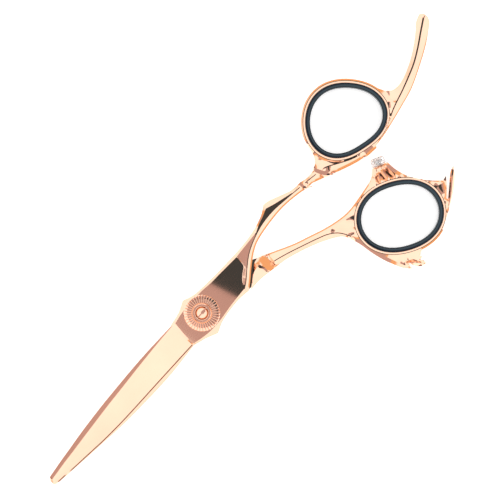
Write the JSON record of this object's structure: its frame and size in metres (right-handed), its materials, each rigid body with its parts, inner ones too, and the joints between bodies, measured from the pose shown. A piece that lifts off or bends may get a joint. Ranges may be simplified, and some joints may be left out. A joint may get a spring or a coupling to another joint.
{
  "type": "hair cutting shears",
  "caption": "Offset hair cutting shears with a convex straight blade, ridged pivot dial, curved finger rest, rubber ring inserts and a silicone bumper.",
  "frame": {"origin": "on the pivot axis, at the flat back face of the pivot bolt's head", "axes": "+X along the closed blades to the tips, +Y towards the thumb ring's side, +Z out through the tension dial"},
  "size_m": [0.1647, 0.0549, 0.0082],
  "materials": {
    "rose_gold": "mirror-polished steel with a rose gold coating",
    "rose_gold_hardware": "turned steel with a rose gold coating",
    "insert_rubber": "moulded, slightly glossy",
    "bumper_silicone": "translucent silicone",
    "plain_steel": "ground",
    "nylon": "moulded",
    "cage_brass": "stamped"
  },
  "bodies": {
    "finger_side": {"finger_half": "rose_gold", "finger_ring_insert": "insert_rubber", "pivot_bushing": "nylon", "bearing_race_lower": "plain_steel"},
    "thumb_side": {"thumb_half": "rose_gold", "thumb_ring_insert": "insert_rubber", "bumper_stud": "plain_steel", "bumper_cap": "bumper_silicone", "pivot_bolt": "rose_gold_hardware", "blade_washer": "nylon"},
    "dial": {"tension_dial": "rose_gold_hardware", "click_spring": "plain_steel", "dial_slip_washer": "nylon", "bearing_race_upper": "plain_steel"},
    "ball_cage": {"bearing_cage": "cage_brass", "bearing_ball_1": "plain_steel", "bearing_ball_2": "plain_steel", "bearing_ball_3": "plain_steel", "bearing_ball_4": "plain_steel", "bearing_ball_5": "plain_steel", "bearing_ball_6": "plain_steel", "bearing_ball_7": "plain_steel", "bearing_ball_8": "plain_steel"}
  },
  "joints": [
    {"name": "blade_pivot", "type": "hinge", "parent": "finger_side", "child": "thumb_side", "pos_m": [0, 0, 0.0034], "axis": [0, 0, -1], "range_deg": [-1, 60]},
    {"name": "dial_turn", "type": "hinge", "parent": "thumb_side", "child": "dial", "pos_m": [0, 0, 0.007], "axis": [0, 0, 1], "range_deg": [-90, 90]},
    {"name": "cage_roll", "type": "hinge", "parent": "finger_side", "child": "ball_cage", "pos_m": [0, 0, 0.00555], "axis": [0, 0, -1], "range_deg": [-0.5, 30]}
  ],
  "couplings": [
    {"joint": "cage_roll", "follows": "blade_pivot", "ratio": 0.5}
  ]
}
